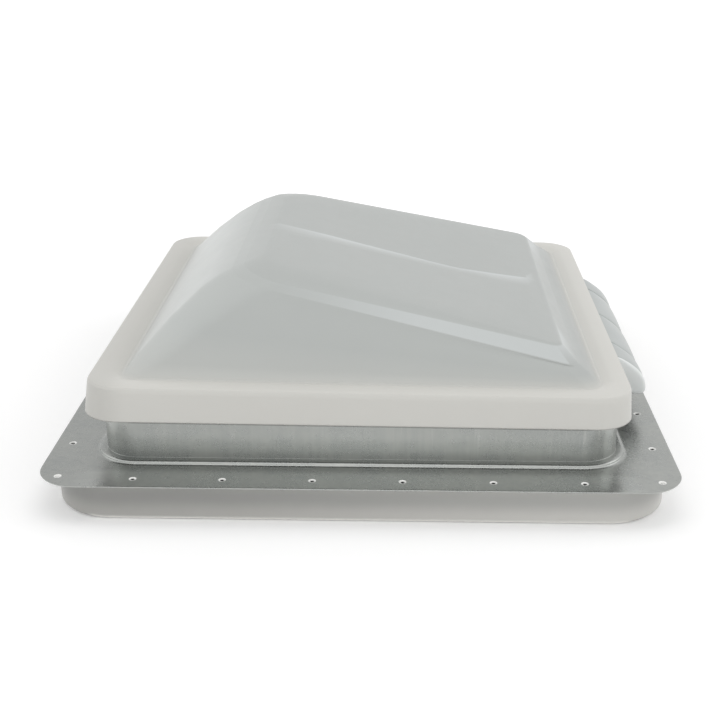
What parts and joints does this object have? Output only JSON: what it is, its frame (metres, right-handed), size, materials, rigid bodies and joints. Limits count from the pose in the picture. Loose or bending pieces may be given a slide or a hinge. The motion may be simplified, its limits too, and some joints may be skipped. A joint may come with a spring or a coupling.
{
  "type": "caravan roof vent",
  "caption": "Square roof vent with a hinged wedge-shaped translucent dome lid on a flanged metal base, a crank operator, an insect screen and an inside trim ring.",
  "frame": {"origin": "centre of the roof opening on the underside of the flange, where the flange meets the roof", "axes": "+Z out of the roof, +X towards the lid's hinge, +Y along the hinge axis, away from the picture's camera"},
  "size_m": [0.4572, 0.4572, 0.1537],
  "materials": {
    "galvanised": "galvanised satin sheet",
    "steel": "zinc plated",
    "milky_lid": "satin translucent white",
    "seal_foam": "foam",
    "nylon": "moulded",
    "cast_zinc": "die cast",
    "trim_plastic": "satin translucent grey",
    "screen_net": "woven fly screen"
  },
  "bodies": {
    "base": {"base_pan": "galvanised", "hinge_bracket": "galvanised", "hinge_rivets": "steel", "hinge_pin": "steel", "pin_clip": "steel", "operator_body": "cast_zinc", "operator_rivets": "steel", "pivot_pin": "steel", "pivot_clip": "steel", "upper_bush": "nylon", "lower_bush": "nylon"},
    "lid_group": {"lid": "milky_lid", "hinge_hood": "milky_lid", "lid_seal": "seal_foam", "lift_rail": "steel", "rail_pads": "milky_lid", "rail_screws": "steel"},
    "arm_group": {"lift_arm": "steel", "arm_sector": "nylon", "roller_pin": "steel", "roller_washer": "steel"},
    "roller_group": {"arm_roller": "nylon"},
    "crank_group": {"worm": "nylon", "worm_shaft": "steel", "crank_knob": "nylon", "knob_screw": "steel"},
    "garnish_group": {"garnish": "trim_plastic", "screen_frame": "nylon", "screen_mesh": "screen_net", "screen_cord": "seal_foam", "clip_screws": "steel"},
    "clip_1": {"screen_clip_1": "nylon"},
    "clip_2": {"screen_clip_2": "nylon"},
    "clip_3": {"screen_clip_3": "nylon"},
    "clip_4": {"screen_clip_4": "nylon"}
  },
  "joints": [
    {"name": "lid_hinge", "type": "hinge", "parent": "base", "child": "lid_group", "pos_m": [0.207, 0, 0.031], "axis": [0, 1, 0], "range_deg": [0, 60]},
    {"name": "arm_pivot", "type": "hinge", "parent": "base", "child": "arm_group", "pos_m": [0.048, 0, 0.024], "axis": [0, 1, 0], "range_deg": [0, 120]},
    {"name": "crank_spin", "type": "hinge", "parent": "base", "child": "crank_group", "pos_m": [0.071, 0.135, 0], "axis": [0, 0, 1], "range_deg": [0, 3600]},
    {"name": "roller_spin", "type": "hinge", "parent": "arm_group", "child": "roller_group", "pos_m": [-0.10106, 0.1, 0.07979], "axis": [0, 1, 0], "continuous": true},
    {"name": "garnish_drop", "type": "slide", "parent": "base", "child": "garnish_group", "axis": [0, 0, -1], "range_m": [0, 0.025]},
    {"name": "clip_1_turn", "type": "hinge", "parent": "garnish_group", "child": "clip_1", "pos_m": [0.185, 0.095, -0.0252], "axis": [0, 0, 1], "range_deg": [0, 90]},
    {"name": "clip_2_turn", "type": "hinge", "parent": "garnish_group", "child": "clip_2", "pos_m": [-0.185, 0.095, -0.0252], "axis": [0, 0, 1], "range_deg": [0, 90]},
    {"name": "clip_3_turn", "type": "hinge", "parent": "garnish_group", "child": "clip_3", "pos_m": [-0.185, -0.095, -0.0252], "axis": [0, 0, 1], "range_deg": [0, 90]},
    {"name": "clip_4_turn", "type": "hinge", "parent": "garnish_group", "child": "clip_4", "pos_m": [0.185, -0.095, -0.0252], "axis": [0, 0, 1], "range_deg": [0, 90]}
  ],
  "couplings": [
    {"joint": "arm_pivot", "follows": "lid_hinge", "ratio": 2},
    {"joint": "crank_spin", "follows": "lid_hinge", "ratio": 60}
  ]
}
